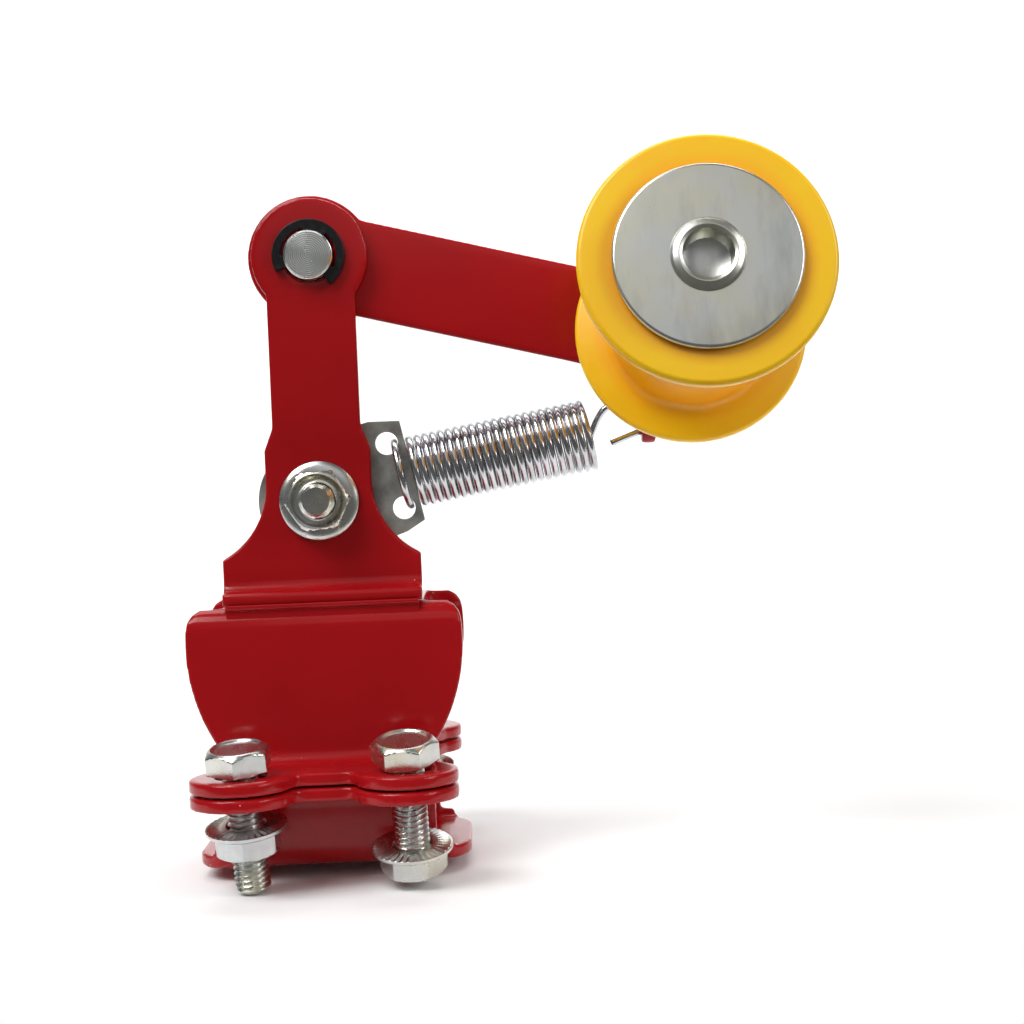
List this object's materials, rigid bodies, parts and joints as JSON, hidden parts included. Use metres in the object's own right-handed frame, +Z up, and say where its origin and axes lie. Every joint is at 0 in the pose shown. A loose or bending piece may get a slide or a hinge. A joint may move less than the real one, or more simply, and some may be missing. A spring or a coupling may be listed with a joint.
{
  "type": "chain tensioner",
  "caption": "Sprung chain tensioner: sheet saddles clamp round a rectangular swing arm, an upright carries a pivoted arm, and a tension spring pulls a plastic roller on the chain.",
  "frame": {"origin": "middle of the upper saddle's inner top face, where it sits on the swing arm", "axes": "+Z up along the upright, +X towards the roller, +Y away from the viewer, from the roller's side to the clamp's rear bolts"},
  "size_m": [0.1426, 0.1215, 0.1559],
  "materials": {
    "red_paint": "glossy red enamel",
    "zinc_plated_steel": "bright zinc plate with faint yellow and blue tints",
    "dull_steel": "dull grey steel sheet",
    "spring_wire": "bright drawn wire",
    "black_clip": "black oxide",
    "bearing_steel": "ground and polished",
    "yellow_plastic": "smooth nylon, slightly see-through"
  },
  "bodies": {
    "frame": {"upright_plate": "red_paint", "foot_weld": "red_paint", "upper_saddle": "red_paint", "lower_saddle": "red_paint", "clamp_bolts": "zinc_plated_steel", "clamp_nuts": "zinc_plated_steel", "spring_plate": "dull_steel", "plate_bolt": "zinc_plated_steel", "plate_washer": "zinc_plated_steel", "plate_nut": "zinc_plated_steel", "spring": "spring_wire"},
    "arm": {"arm_plate": "red_paint", "pivot_pin": "zinc_plated_steel", "pivot_clip": "black_clip", "axle": "zinc_plated_steel", "front_cover": "zinc_plated_steel", "rear_cover": "zinc_plated_steel", "front_inner_ring": "bearing_steel", "rear_inner_ring": "bearing_steel", "axle_sleeve": "zinc_plated_steel", "axle_spacer": "zinc_plated_steel", "axle_washer": "zinc_plated_steel", "axle_nut": "zinc_plated_steel"},
    "roller": {"roller_spool": "yellow_plastic", "front_outer_ring": "bearing_steel", "rear_outer_ring": "bearing_steel"},
    "ball_sets": {"front_balls": "bearing_steel", "rear_balls": "bearing_steel"}
  },
  "joints": [
    {"name": "arm_pivot", "type": "hinge", "parent": "frame", "child": "arm", "pos_m": [0, -0.0135, 0.0816], "axis": [0, -1, 0], "range_deg": [0, 40], "stiffness_Nm_per_rad": 1.6, "springref_deg": -11.46, "deforming": ["spring"]},
    {"name": "roller_spin", "type": "hinge", "parent": "arm", "child": "roller", "pos_m": [0.0857, -0.0132, 0.05992], "axis": [-0.0427, -0.9786, 0.2011], "continuous": true},
    {"name": "ball_circling", "type": "hinge", "parent": "arm", "child": "ball_sets", "pos_m": [0.0857, -0.0132, 0.05992], "axis": [-0.0427, -0.9786, 0.2011], "continuous": true}
  ],
  "couplings": [
    {"joint": "ball_circling", "follows": "roller_spin", "ratio": 0.635}
  ]
}
